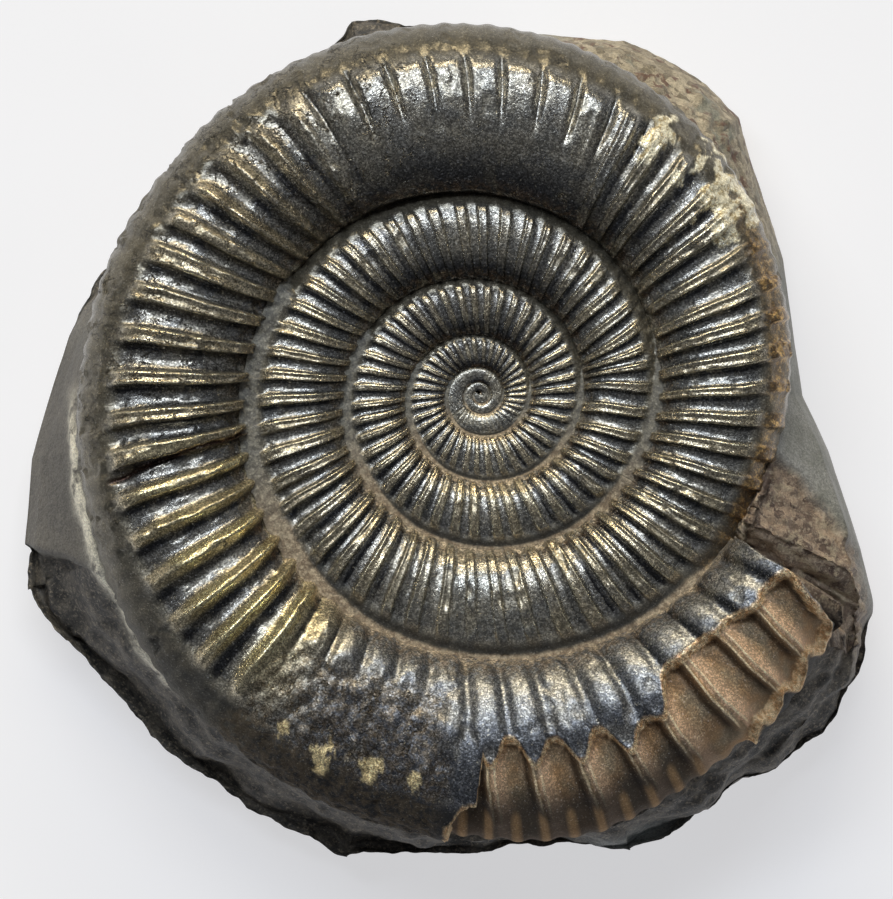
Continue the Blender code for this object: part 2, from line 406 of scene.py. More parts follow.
# %% Shell surface with its masks
LAYER = 0.75
FINE_RELIEF = 0.075
BEAD_RELIEF = 0.30
CAST_RELIEF = 1.5
CAST_MIDDLE = 0.55
CAST_FINE_RELIEF = 0.14
DENT_DEPTH = 0.20
GRAIN_DEPTH = 0.05
WINDOW_RIM = 0.25
CHIP_DEPTH = 0.22
CRYSTAL_HEIGHT = 0.14
CRACK_DEPTH = 0.45
END_SLANT = 0.0016
SHELL_START = -5.6
OPENING_TURNS = 1.2
FULL_SIZE_TURN = 0.4
TORN_TURNS = (0.909, BROKEN_END)
SLANT_TURNS = (0.86, BROKEN_END)
SLANT_RADIUS = 30.0
DIRT_TURNS = (0.0, 0.06, 0.11, 0.36, 0.42, 0.60, 0.68, 0.84, 0.92, 1.0)
DIRT_LEVELS = (0.86, 0.60, -1.0, -1.0, 0.88, 0.92, 0.75, 0.75, 0.88, 0.86)


def outward(around, width, breadth):
    """The direction away from the tube: the slope of the superellipse, in plan and in height."""
    across, height = section(around)
    share = 2.0 * across - 1.0
    sideways = np.sign(share) * np.abs(share) ** (SQUARENESS - 1.0) / (0.5 * width)
    upwards = np.sign(height) * np.abs(height) ** (SQUARENESS - 1.0) / breadth
    length = np.hypot(sideways, upwards)
    return sideways / length, upwards / length


def shell_surface(turn, around):
    """Points of the shell in mm, and its masks, for arrays of turn and of the place around the tube."""
    across, height = section(around)
    filled = np.interp(turn % 1.0, DIRT_TURNS, DIRT_LEVELS) * ease(-0.05, -0.12, turn)
    height = np.where((around > 0.25) & (around < 0.5), np.maximum(height, filled), height)
    opened = ease(SHELL_START, SHELL_START + OPENING_TURNS, turn)
    inner = seam_radius(turn) * opened - 0.4 * margin_radius(turn) * (1.0 - opened)
    width = margin_radius(turn) - inner
    breadth = half_breadth(turn)
    radius = inner + width * across
    x, y = plan(turn, radius)
    smooth = np.stack([x, y, MID_HEIGHT + breadth * height], axis=-1)
    torn = 0.003 * rough(smooth, 3.0, 4, 43) * ease(*TORN_TURNS, turn)
    torn -= END_SLANT * np.maximum(radius - SLANT_RADIUS, 0.0) * ease(*SLANT_TURNS, turn)
    smooth[..., 0], smooth[..., 1] = plan(turn + torn, radius)
    scale = np.clip(seam_radius(turn) / seam_radius(FULL_SIZE_TURN), 0.0, 1.15)
    upper = ease(-0.05, 0.2, height)

    offset, number = rib_phase(turn, across)
    profile, crest, edge = rib_profile(offset, number)
    profile, crest, sharp = worn_profile(turn, across, offset, profile, crest)
    edge = edge * sharp
    flank = ease(0.015, 0.07, across) * ease(0.86, 0.74, across) * upper * ease(-3.3, -2.9, turn)
    mould = np.where(turn > MOULD_FROM, mould_distance(smooth, turn, radius, offset), FAR_OUTSIDE)
    bare = ease(-0.08, 0.12, mould)
    scar = scar_mask(smooth, turn, radius)
    crystals = crystal_mask(smooth, turn, radius)
    relief = flank_relief(turn) * (1.0 - 0.75 * scar)
    lift = RIB_RELIEF * scale * relief * flank * (profile - MEAN_PROFILE)

    fine_count = 2.0 * rib_count(turn)
    fine_wave = np.cos(2.0 * np.pi * fine_count) * ease(0.78, 0.9, across)
    patchy = ease(-0.8, 0.3, rough(smooth, 3.0, 3, 47))
    beads = ease(-0.12, -0.06, turn) * ease(0.12, 0.085, turn) * bump_at(across, 0.92, 0.08) * upper * patchy
    dirt = ease(0.0, 0.12, filled - section(around)[1]) * (around > 0.25) * upper
    lift += FINE_RELIEF * scale * fine_wave * (1.0 - dirt) + BEAD_RELIEF * beads * (2.0 * profile - 0.9)
    lift += 0.30 * scale * dirt * rough(smooth, 1.3, 3, 49)

    trough, ridge_edge = trough_profile(offset)
    outside = ease(0.84, 0.97, across)
    cast = CAST_RELIEF * (trough - CAST_MIDDLE) * (1.0 - outside) + CAST_FINE_RELIEF * outside * fine_wave
    lift += bare * (cast - LAYER - lift)

    worn = np.interp(turn, CHIP_TURNS, CHIP_STRENGTH)
    chips = ease(0.02, 0.07, rough(smooth, 1.9, 4, 53) * 0.9 + worn - 0.55)
    chips = chips * (0.35 + 0.65 * crest) * (1.0 - bare)
    crack = crack_distance(smooth, turn, radius)
    lift += DENT_DEPTH * scale * rough(smooth, 7.0, 2, 3)
    lift += GRAIN_DEPTH * scale * rough(smooth, 1.1, 2, 5)
    lift += WINDOW_RIM * bump_at(mould, -0.15, 0.30) * upper
    lift -= CHIP_DEPTH * scale * chips * (0.6 + 0.8 * facets(smooth, 0.7, 59))
    lift -= scar * (0.38 * facets(smooth, 1.1, 61) + 0.30 * rough(smooth, 1.6, 4, 63))
    lift += CRYSTAL_HEIGHT * crystals * (0.5 + rough(smooth, 0.6, 2, 67))
    lift -= CRACK_DEPTH * bump_at(crack, 0.0, 0.16) * upper

    sideways, upwards = outward(around, width, breadth)
    angle = 2.0 * np.pi * turn
    push = np.stack([sideways * np.cos(angle), sideways * np.sin(angle), upwards], axis=-1)
    # Painted shade: a dark band on the side of each rib that faces away from the lamps, which stand towards
    # +Y.
    lee = 1.5 * bump_at(-offset * np.cos(angle), 0.27, 0.09) * flank * relief
    masks = {
        "crest": crest * flank * relief * (1.0 - bare),
        "edge": edge * flank * relief * (1.0 - bare) + ridge_edge * bare * (1.0 - outside),
        "valley": (1.0 - profile) * flank * relief,
        "lee": np.minimum(lee, 0.9),
        # Where a painted highlight goes: the gentle slope beside each ridge of the filling.
        "ridge": ease(0.45, 0.9, falling_side(offset)) * bare,
        # Where a painted shadow goes: a dark line at the foot of each trough's steep side.
        "foot": bump_at(offset % 1.0, 0.79, 0.09) * bare * (1.0 - outside),
        "mould": mould,
        "scar": scar,
        "chips": chips * upper,
        "crack": bump_at(crack, 0.0, 0.30) * upper,
        "crystals": crystals * upper,
        "flakes": np.maximum(worn, 0.74 * scar) * (1.0 - bare) * upper,
        "beads": np.clip(beads * (0.5 + profile) * 1.5, 0.0, 1.0),
        "dirt": dirt,
        "fine": ease(0.2, 0.9, fine_wave),
        "across": across,
        "around": angle,
    }
    return smooth + push * lift[..., None], masks


# %% [markdown]
# ## From grid to mesh
#
# A grid of points becomes quads by joining each point to its right and lower neighbours. The tube's last
# row joins its first, and a fan of triangles closes each end, so the mesh is one closed skin. Building the
# index arrays in numpy and handing them over whole is much faster than adding faces one by one.

# %% Grid mesh helper
def add_object(name, data):
    """A new object, linked to the scene."""
    thing = bpy.data.objects.new(name, data)
    bpy.context.scene.collection.objects.link(thing)
    return thing


def mesh_object(name, points, quads, triangles, masks):
    """A mesh object at the origin from points in mm, quads, triangles and point attributes."""
    mesh = bpy.data.meshes.new(name)
    mesh.vertices.add(len(points))
    mesh.vertices.foreach_set("co", (points * MM).astype(np.float32).ravel())
    corners = np.concatenate([quads.ravel(), triangles.ravel()])
    starts = np.concatenate([np.arange(len(quads)) * 4, len(quads) * 4 + np.arange(len(triangles)) * 3])
    mesh.loops.add(len(corners))
    mesh.loops.foreach_set("vertex_index", corners.astype(np.int32))
    mesh.polygons.add(len(starts))
    mesh.polygons.foreach_set("loop_start", starts.astype(np.int32))
    mesh.update(calc_edges=True)
    mesh.validate()
    mesh.shade_smooth()
    for mask, values in masks.items():
        layer = mesh.attributes.new(mask, "FLOAT", "POINT")
        layer.data.foreach_set("value", np.asarray(values, np.float32).ravel())
    print(f"{name}: {len(points)} points, {2 * len(quads) + len(triangles)} triangles")
    return add_object(name, mesh)


def tube_mesh(name, points, masks):
    """A closed tube: rings of points along its length, joined around, with a fan at each end."""
    count, around = points.shape[:2]
    index = np.arange(count * around).reshape(count, around)
    a, b = index[:-1], index[1:]
    quads = np.stack([a, np.roll(a, -1, 1), np.roll(b, -1, 1), b], axis=-1).reshape(-1, 4)
    middle = count * around
    first, last = index[0], index[-1]
    fans = np.concatenate([
        np.stack([first, np.full(around, middle), np.roll(first, -1)], axis=-1),
        np.stack([np.roll(last, -1), np.full(around, middle + 1), last], axis=-1)])
    ends = np.stack([points[0].mean(0), points[-1].mean(0)])
    flat = {mask: np.concatenate([v.ravel(), v[0].mean(keepdims=True), v[-1].mean(keepdims=True)])
            for mask, v in masks.items()}
    return mesh_object(name, np.concatenate([points.reshape(-1, 3), ends]), quads, fans, flat)


# %% [markdown]
# The coil is made in three lengths that meet across the tube, because one mesh with enough points for the
# last whorl's grain would waste them on the tiny inner ones. Each length has rows packed on the upper side,
# where the shell shows, and few below, where the rock hides it.

# %% Make the whorls
def whorl(name, first_turn, last_turn, per_rib, upper_rows, lower_rows):
    """One length of the coil: columns evenly spaced in ribs, rows spaced by the upper and lower sides."""
    ribs = rib_count([first_turn, last_turn])
    columns = int(round((ribs[1] - ribs[0]) * per_rib))
    turn = np.interp(np.linspace(ribs[0], ribs[1], columns + 1), RIB_COUNTS, RIB_TURNS)
    turn[0], turn[-1] = first_turn, last_turn
    top = np.linspace(0.0, 0.5, upper_rows, endpoint=False)
    below = np.linspace(0.5, 1.0, lower_rows, endpoint=False)
    turns, around = np.meshgrid(turn, np.concatenate([top, below]), indexing="ij")
    points, masks = shell_surface(turns, around)
    piece = tube_mesh(name, points, masks)
    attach(piece, "root")
    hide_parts("ammonite")
    return piece


LAST_START = BROKEN_END - 1.0
last_whorl = whorl("last_whorl", LAST_START, BROKEN_END, 21, 76, 12)
second_whorl = whorl("second_whorl", LAST_START - 1.0, LAST_START, 22, 54, 8)
inner_whorls = whorl("inner_whorls", SHELL_START, LAST_START - 1.0, 12, 38, 6)

# %% [markdown]
# ## The rock
#
# The nodule is a broken block, so its plan is a polygon with straight sides and its faces are flat. Its
# surface is a set of paths, one for each direction from the eye: a path starts under the shell, comes out
# at the shell's outer edge, runs out to the block's upper edge, falls down its side and turns in underneath
# to the flat resting face.

# %% The rock's plan and heights
ROCK_CORNERS = (
    (0, 27.6), (18, 27.8), (24, 28.5), (36, 29.8), (43, 31.3), (47, 32.5), (54, 33.0), (61, 32.9), (68, 32.8),
    (80, 31.4), (92, 31.1), (99, 32.6), (109, 34.2), (116, 33.0), (128, 32.1), (152, 33.1), (166, 35.2),
    (178, 36.4), (188, 38.6), (203, 42.8), (211, 42.4), (216, 41.4), (232, 41.2), (254, 41.6), (270, 39.6),
    (283.5, 39.8), (288, 41.6), (293, 41.6), (299, 41.4), (303.5, 40.5), (309.5, 41.2), (315.5, 41.3),
    (322, 41.0), (327, 40.05), (331, 38.7), (338, 35.2), (351, 30.1), (360, 27.6),
)
LEVEL_TURNS = (0.0, 0.12, 0.20, 0.27, 0.32, 0.45, 0.50, 0.56, 0.60, 0.70, 0.78, 0.85, 0.895, 0.93, 0.965, 1.0)
CONTACT_LEVEL = (12.8, 17.2, 17.5, 12.0, 10.5, 11.0, 13.6, 16.2, 16.0, 15.0, 14.5, 14.2, 16.0, 20.0,
                 17.0, 12.8)
EDGE_LEVEL = (9.5, 9.5, 8.5, 5.5, 6.0, 7.0, 7.0, 7.5, 6.5, 6.0, 6.5, 9.0, 11.0, 15.0, 12.0, 9.5)
OVERLAP = (0.4, 1.2, 1.2, 0.6, 0.4, 0.4, 0.4, 0.7, 0.8, 0.7, 1.2, 1.5, 0.8, 0.3, 0.3, 0.4)
EDGE_SHARE = 0.975
SIDE_LEVEL = 4.6
FOOT = (0.93, 1.1)
BASE_SHARE = 0.84
TOP_LEVEL = 9.0
UNDER_SHELL = (0.86, 4.5)
LEDGE = 1.2
END_FACE = 0.008


def rock_outline(turn):
    """Distance from the eye to the block's outline, where a ray meets the side between two corners."""
    corners = np.array(ROCK_CORNERS)
    degrees = turn * 360.0
    k = np.clip(np.searchsorted(corners[:, 0], degrees, side="right") - 1, 0, len(corners) - 2)
    angle = np.radians(corners[:, 0])
    x, y = corners[:, 1] * np.cos(angle), corners[:, 1] * np.sin(angle)
    side_x, side_y = x[k + 1] - x[k], y[k + 1] - y[k]
    ray_x, ray_y = np.cos(2.0 * np.pi * turn), np.sin(2.0 * np.pi * turn)
    return (x[k] * side_y - y[k] * side_x) / (ray_x * side_y - ray_y * side_x)


def rock_paths(turn):
    """The corners of each path from under the shell to the resting face, in mm, one path for each turn."""
    ray = np.stack([np.cos(2.0 * np.pi * turn), np.sin(2.0 * np.pi * turn)], axis=-1)
    outline = rock_outline(turn)
    shell = margin_radius(np.where(turn < BROKEN_END - END_FACE, turn, turn - 1.0))
    shell = shell * np.hypot(ray[:, 0], COIL_FLATTENING * ray[:, 1])
    contact = np.minimum(shell - np.interp(turn, LEVEL_TURNS, OVERLAP), outline - LEDGE)
    level = np.interp(turn, LEVEL_TURNS, CONTACT_LEVEL)
    edge = np.interp(turn, LEVEL_TURNS, EDGE_LEVEL)
    zero = np.zeros_like(turn)
    stations = ((zero, zero + TOP_LEVEL), (UNDER_SHELL[0] * contact, level - UNDER_SHELL[1]),
                (contact, level), (EDGE_SHARE * outline, edge), (outline, zero + SIDE_LEVEL),
                (FOOT[0] * outline, zero + FOOT[1]), (BASE_SHARE * outline, zero))
    return [np.concatenate([EYE + r[:, None] * ray, z[:, None]], axis=1) for r, z in stations]


def grid_normals(points):
    """Outward directions of a grid: the cross product of its two neighbours' differences."""
    along = np.roll(points, -1, 0) - np.roll(points, 1, 0)
    down = np.gradient(points, axis=1)
    normal = np.cross(down, along)
    return normal / np.maximum(np.linalg.norm(normal, axis=-1, keepdims=True), 1e-9)


print("rock outline in mm from the eye at four places:", np.round(rock_outline(four_turns), 1))

# %% [markdown]
# The block isn't the same all round. Masks say where each kind of stone lies: pebbly crust on the upper
# right, rusty stone beyond the shell's broken end, one smooth face on the left, and dark shale on the rest.
# Fractures and pebbles are cut inwards, so the block keeps its size to within its grain. A ragged rim stands
# proud beside the shell, and a bench follows the lower side, where the block broke on two levels.

# %% Build the rock
ROCK_COLUMNS = 1120
PATH_ROWS = (4, 40, 18, 12, 6, 4)
CRUST_TURNS = ((0.05, 0.09), (0.228, 0.205))
RUST_TURNS = ((0.895, 0.912), (0.985, 0.965))
FACE_TURNS = ((0.45, 0.49), (0.60, 0.57))
SHALE_TURNS = ((0.232, 0.25), (0.925, 0.912))
RIM_TURNS = ((0.49, 0.52), (0.64, 0.60))
RIM_HEIGHT = 0.45
LIP_TURN = 0.803
BENCH_DROP = 1.3
BENCH_SHARES = (0.42, 0.50)
BENCH_TURNS = (0.53, 0.55)
BENCH_LEVEL = 6.0


def rock_grid():
    """Rows of points from the top middle down to the resting face, for columns all round."""
    turn = np.arange(ROCK_COLUMNS) / ROCK_COLUMNS
    stations = rock_paths(turn)
    rows = []
    for count, start, end in zip(PATH_ROWS, stations[:-1], stations[1:]):
        shares = np.linspace(0.0, 1.0, count, endpoint=False)
        rows += [start + share * (end - start) for share in shares]
    return turn, np.stack(rows[1:] + [stations[-1]], axis=1)


def rock_surface():
    """The block with its fractures, pebbles, bench and grain, and its masks."""
    turn, smooth = rock_grid()
    normal = grid_normals(smooth)
    turns = np.broadcast_to(turn[:, None], smooth.shape[:2])
    x, y, z = smooth[..., 0], smooth[..., 1], smooth[..., 2]
    from_eye = np.hypot(x - EYE[0], y - EYE[1])
    outline = np.broadcast_to(rock_outline(turn)[:, None], smooth.shape[:2])
    shell = margin_radius(np.where(turns < BROKEN_END, turns, turns - 1.0))
    wobble = rough(smooth, 6.0, 3, 71)

    crust = ease(*CRUST_TURNS[0], turns + 0.01 * wobble) * ease(*CRUST_TURNS[1], turns)
    band = np.maximum(0.0, turns - 0.938) * 150.0
    rust = ease(*RUST_TURNS[0], turns) * ease(-0.4, 1.0, outline - band - from_eye + 1.2 * wobble)
    rust = rust * ease(*RUST_TURNS[1], turns)
    face = ease(-0.25, 0.25, y + 9.0 + 0.37 * (x + 36.0) + 0.5 * rough(smooth, 3.0, 3, 73))
    face = face * ease(*FACE_TURNS[0], turns) * ease(*FACE_TURNS[1], turns)
    shale = ease(*SHALE_TURNS[0], turns) * ease(*SHALE_TURNS[1], turns) * (1.0 - face)
    rim = bump_at(from_eye - shell + 0.6 * rough(smooth, 2.5, 3, 79), 0.30, 0.55)
    rim = rim * ease(*RIM_TURNS[0], turns) * ease(*RIM_TURNS[1], turns)
    lip = bump_at(turns, LIP_TURN, 0.014) * ease(1.6, 0.6, outline - from_eye)

    dent = 0.8 * shale * ease(0.2, 0.8, facets(smooth, 5.5, 83)) + 0.25 * shale * facets(smooth, 1.6, 89)
    dent += 0.15 * ease(0.2, 0.9, facets(smooth, 8.0, 97)) - RIM_HEIGHT * rim
    dent += 0.45 * shale * rough(smooth, 2.0, 4, 91)
    share = (from_eye - shell) / np.maximum(outline - shell, 1.0) + 0.10 * rough(smooth, 4.0, 3, 93)
    bench = shale * ease(*BENCH_SHARES, share) * ease(*BENCH_TURNS, turns) * ease(SIDE_LEVEL, BENCH_LEVEL, z)
    pebbles = 0.50 * ease(0.1, 0.7, facets(smooth, 1.5, 101)) + 0.25 * facets(smooth, 0.6, 103)
    dent += (crust * ease(0.2, 1.4, outline - from_eye) + 1.1 * rust) * pebbles
    dent += 0.15 * (0.5 + 0.5 * wobble) + 0.10 * (1.0 + rough(smooth, 0.9, 3, 107)) * (shale + crust + rust)
    beside_face = (1.0 - face) * ease(0.50, 0.53, turns) * ease(0.62, 0.58, turns)
    dent += 0.5 * beside_face * ease(0.5, 2.5, from_eye - shell)
    points = smooth - normal * (dent * ease(0.0, 1.5, z))[..., None]
    points[..., 2] -= BENCH_DROP * bench
    points[..., 2] = np.maximum(points[..., 2], 0.0)
    masks = {"crust": crust, "rust": rust, "face": face, "shale": shale, "rim": rim, "lip": lip}
    return points, masks


def block_mesh(name, points, masks):
    """A closed block: columns joined all round, with a fan above and one below."""
    around, count = points.shape[:2]
    index = np.arange(around * count).reshape(around, count)
    after = np.roll(index, -1, 0)
    quads = np.stack([index[:, :-1], index[:, 1:], after[:, 1:], after[:, :-1]], axis=-1).reshape(-1, 4)
    top, bottom = around * count, around * count + 1
    fans = np.concatenate([
        np.stack([index[:, 0], after[:, 0], np.full(around, top)], axis=-1),
        np.stack([after[:, -1], index[:, -1], np.full(around, bottom)], axis=-1)])
    ends = np.stack([points[:, 0].mean(0), points[:, -1].mean(0)])
    flat = {mask: np.concatenate([v.ravel(), v[:, 0].mean(keepdims=True), v[:, -1].mean(keepdims=True)])
            for mask, v in masks.items()}
    return mesh_object(name, np.concatenate([points.reshape(-1, 3), ends]), quads, fans, flat)


rock = block_mesh("rock_block", *rock_surface())
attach(rock, "root")
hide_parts("rock_matrix")

# %% [markdown]
# ## Writing finishes as sums
#
# A finish is a small graph of nodes. Reading `1 - mask` is easier than following wires, so one class wraps
# an output socket and turns arithmetic into Math nodes. Colours go through Mix nodes, which keep them in
# colour.

# %% Shader helpers
class Value:
    """One number in a finish's graph; arithmetic with it adds Math nodes."""

    def __init__(self, finish, socket):
        self.finish = finish
        self.socket = socket

    def math(self, operation, *values):
        """Adds one Math node."""
        node = self.finish.node("ShaderNodeMath", {"operation": operation}, dict(enumerate(values)))
        return Value(self.finish, node.outputs[0])

    def __add__(self, other):
        return self.math("ADD", self, other)

    def __sub__(self, other):
        return self.math("SUBTRACT", self, other)

    def __rsub__(self, other):
        return self.math("SUBTRACT", other, self)

    def __mul__(self, other):
        return self.math("MULTIPLY", self, other)

    def __pow__(self, other):
        return self.math("POWER", self, other)

    __radd__ = __add__
    __rmul__ = __mul__

    def ease(self, low, high):
        """0 below low, 1 above high, with a smooth S between them."""
        node = self.finish.node("ShaderNodeMapRange", {"interpolation_type": "SMOOTHSTEP"},
                                {"Value": self, "From Min": low, "From Max": high})
        return Value(self.finish, node.outputs[0])


class Finish:
    """A material with a Principled shader, whose nodes are added one call at a time."""

    def __init__(self, name):
        self.material = bpy.data.materials.new(name)
        self.material.use_nodes = True
        self.tree = self.material.node_tree
        self.shader = self.tree.nodes["Principled BSDF"]
        self.place = self.node("ShaderNodeTexCoord", {}, {}).outputs["Object"]

    def node(self, kind, settings, sockets):
        """Adds any node: its settings first, then a value or a link for each named socket."""
        node = self.tree.nodes.new(kind)
        for setting, value in settings.items():
            setattr(node, setting, value)
        for socket, value in sockets.items():
            self.feed(node.inputs[socket], value)
        return node

    def feed(self, socket, value):
        """Links a Value or a socket, or sets a constant."""
        if isinstance(value, Value):
            value = value.socket
        if isinstance(value, bpy.types.NodeSocket):
            self.tree.links.new(value, socket)
        elif isinstance(value, tuple) and len(value) == 3 and socket.type == "RGBA":
            socket.default_value = (*value, 1.0)
        else:
            socket.default_value = value

    def mask(self, name):
        """One of the mesh's point attributes."""
        return Value(self, self.node("ShaderNodeAttribute", {"attribute_name": name}, {}).outputs["Fac"])

    def noise(self, size_mm, detail, roughness=0.6):
        """Noise from 0 to 1 whose features are about size_mm across."""
        node = self.node("ShaderNodeTexNoise", {}, {
            "Vector": self.place, "Scale": 1.0 / (size_mm * MM), "Detail": detail, "Roughness": roughness})
        return Value(self, node.outputs["Fac"])

    def grains(self, size_mm):
        """Two random numbers for each crystal grain of about size_mm."""
        node = self.node("ShaderNodeTexVoronoi", {}, {"Vector": self.place, "Scale": 1.0 / (size_mm * MM)})
        split = self.node("ShaderNodeSeparateColor", {}, {"Color": node.outputs["Color"]})
        return Value(self, split.outputs[0]), Value(self, split.outputs[1])

    def mix(self, factor, low, high, blend="MIX"):
        """A colour between low and high; each is a tuple or a colour socket."""
        node = self.node("ShaderNodeMix", {"data_type": "RGBA", "blend_type": blend}, {})
        self.feed(node.inputs["Factor"], factor)
        self.feed(node.inputs[6], low)
        self.feed(node.inputs[7], high)
        return node.outputs[2]

    def bump(self, height, distance_mm, strength, normal=None):
        """Tilts the light by a height pattern; distance_mm is how tall the pattern is."""
        sockets = {"Height": height, "Distance": distance_mm * MM, "Strength": strength}
        if normal is not None:
            sockets["Normal"] = normal
        return self.node("ShaderNodeBump", {}, sockets).outputs["Normal"]

    def set(self, **sockets):
        """Feeds the Principled shader; underscores in a name stand for spaces."""
        for name, value in sockets.items():
            self.feed(self.shader.inputs[name.replace("_", " ")], value)


# %% [markdown]
# ## The shell's finish
#
# The mineral is a dull metal with crystal grain: a dark blue-grey ground in the valleys, an olive to gold
# wear on the crests, pale on their sharp edges, which a painted highlight brightens further. Because it is
# metallic, most of its brightness comes from the lamps, but some light and shade is painted into its colour:
# painted shade on the ribs' sides that face away from the lamps, over the flank at the top of the coil and,
# darkest, on its inner part near the seam, and a painted gold highlight on the bars of the left flank. The
# outer edge is duller and darker, and painted shade makes it almost black on the lower side. Old dirt lies in
# the seams. Where the shell is gone, the mud that filled it shows: hardly metallic and brown, with pale
# ridges, brightened by painted highlights on their crest lines and on the gentle slope beside each, a painted
# shadow at the foot of each trough and painted shade towards the lower edge. A ragged pale rim marks the
# broken layer.

# %% Shell finish
def shell_finish():
    """Dark metallic shell, wear, dirt, crystals, painted light and shade, and the brown filling where the
    shell is gone.
    """
    finish = Finish("pyritised_shell_finish")
    crest, edge, valley = finish.mask("crest"), finish.mask("edge"), finish.mask("valley")
    mould, scar, chips = finish.mask("mould"), finish.mask("scar"), finish.mask("chips")
    across, around, crystals = finish.mask("across"), finish.mask("around"), finish.mask("crystals")
    fine, cloud = finish.noise(0.20, 2.0, 0.7), finish.noise(2.6, 4.0, 0.6)
    speck = finish.noise(0.6, 3.0, 0.7)
    grain, tint = finish.grains(0.115)
    towards_top = around.math("SINE", around)
    low_side = towards_top.ease(-0.2, -0.8)
    venter = across.ease(0.74, 0.86)

    ground = finish.mix(cloud.ease(0.35, 0.65), (0.315, 0.31, 0.285), (0.46, 0.425, 0.345))
    ground = finish.mix(valley.ease(0.3, 0.9) * 0.6, ground, (0.205, 0.205, 0.208))
    polished = (crest * 0.9 + (cloud - 0.5) * 0.9).ease(0.25, 1.0)
    ground = finish.mix(polished * 0.6, ground, (0.54, 0.44, 0.27))
    # Pale rubbed rib edges, brightened further as a painted highlight along each sharp edge.
    ground = finish.mix((edge * speck.ease(0.3, 0.55)).ease(0.1, 0.9) * 0.85, ground, (0.95, 0.86, 0.60))
    # Painted highlight: a gold glare on the rounded bars of the left flank, strongest on their inner half.
    left_side = around.ease(3.15, 3.5) * around.ease(4.25, 3.95)
    painted_gold_highlight = left_side * across.ease(0.85, 0.5) * valley.ease(0.85, 0.55)
    ground = finish.mix(painted_gold_highlight * 0.85, ground, (0.80, 0.68, 0.38))
    scuffed = around.ease(4.05, 4.35)
    blue_grey = finish.mix(speck.ease(0.35, 0.6), (0.15, 0.170, 0.215), (0.25, 0.262, 0.275))
    ground = finish.mix(scuffed * 0.7, ground, blue_grey)
    scraped = scuffed * across.ease(0.26, 0.45)
    ground = finish.mix(scraped * 0.75, ground, (0.10, 0.108, 0.128))
    # Painted shade: the inner flank near the seam at the top of the coil is darkened almost to black.
    shaded = towards_top.ease(0.45, 0.95) * across.ease(0.38, 0.12)
    ground = finish.mix(shaded * 0.92, ground, (0.012, 0.012, 0.015))
    # Painted shade on the ribs' sides that face away from the lamps.
    ground = finish.mix(finish.mask("lee"), ground, (0.022, 0.023, 0.028))
    # The outer edge is a darker olive-brown; on the lower side painted shade makes it almost black.
    edge_colour_and_low_shade = finish.mix(low_side, (0.092, 0.078, 0.050), (0.022, 0.019, 0.016))
    ground = finish.mix(venter * 0.8, ground, edge_colour_and_low_shade)
    # Painted shade: the flank at the top of the coil is dimmed towards dark grey.
    painted_top_shade = towards_top.ease(0.5, 0.95)
    ground = finish.mix(painted_top_shade * (1.0 - venter) * 0.35, ground, (0.14, 0.14, 0.145))

    inner_end = across.ease(0.10, 0.02) * speck.ease(0.25, 0.55) * towards_top.ease(0.75, -0.1)
    stained = across.ease(0.16, 0.05) * speck.ease(0.4, 0.6)
    ground = finish.mix(stained * 0.6, ground, (0.20, 0.125, 0.07))
    dirt = (finish.mask("dirt") + inner_end * 0.8).ease(0.0, 1.0)
    grey_dirt = finish.mix(speck.ease(0.4, 0.6), (0.14, 0.135, 0.12), (0.28, 0.265, 0.22))
    tan_dirt = finish.mix(speck.ease(0.4, 0.6), (0.40, 0.30, 0.20), (0.68, 0.56, 0.40))
    ground = finish.mix(dirt * 0.85, ground, finish.mix(low_side * 0.8, grey_dirt, tan_dirt))
    flake = finish.noise(1.8, 6.0, 0.62) + (finish.mask("flakes") - 0.64) * 0.9
    ground = finish.mix(chips * (1.0 - venter) * 0.6, ground, (0.36, 0.32, 0.235))
    ground = finish.mix(flake.ease(0.47, 0.50) * flake.ease(0.52, 0.50) * 0.6, ground, (0.04, 0.034, 0.028))
    ground = finish.mix(scar * speck.ease(0.35, 0.6) * 0.7, ground, (0.15, 0.115, 0.075))
    bead = finish.mix(speck.ease(0.45, 0.65), (0.15, 0.095, 0.05), (0.62, 0.40, 0.16))
    ground = finish.mix(finish.mask("beads") * fine.ease(0.3, 0.5), ground, bead)
    bright = finish.mix(low_side, (0.95, 0.88, 0.66), (0.78, 0.64, 0.36))
    crystal = finish.mix(speck.ease(0.35, 0.55), (0.46, 0.36, 0.19), bright)
    ground = finish.mix(crystals, ground, crystal)
    ground = finish.mix(finish.mask("crack"), ground, (0.05, 0.022, 0.014))

    depth = mould + (finish.noise(0.5, 3.0, 0.6) - 0.5) * 0.5
    brown = finish.mix(cloud.ease(0.3, 0.7), (0.44, 0.265, 0.13), (0.34, 0.27, 0.18))
    # Painted highlight: the gentle slope beside each ridge is painted paler.
    brown = finish.mix(finish.mask("ridge") * 0.8, brown, (0.80, 0.55, 0.36))
    # Pale crest lines on the ridges, brightened further as a painted highlight.
    brown = finish.mix(edge.ease(0.3, 0.8) * 0.9, brown, (1.0, 0.82, 0.54))
    # Painted shadow: a dark line at the foot of each trough's steep side.
    brown = finish.mix(finish.mask("foot") * 0.9, brown, (0.045, 0.030, 0.022))
    # Painted shade: on the lower side of the coil the windows grow almost black towards the outer edge.
    below = towards_top.ease(-0.78, -0.90)
    brown = finish.mix(across.ease(0.60, 0.84) * below * 0.88, brown, (0.045, 0.035, 0.028))
    secondary = across.ease(0.70, 0.78) * finish.mask("fine") * below
    brown = finish.mix(secondary * 0.8, brown, (0.40, 0.25, 0.12))
    ground = finish.mix(depth.ease(-0.05, 0.08), ground, brown)
    rim = depth.ease(-0.65, -0.15) * depth.ease(0.30, 0.08)
    rim_colour = finish.mix(speck.ease(0.35, 0.65), (0.58, 0.32, 0.13), (1.0, 0.78, 0.48))
    ground = finish.mix(rim * 0.85, ground, rim_colour)

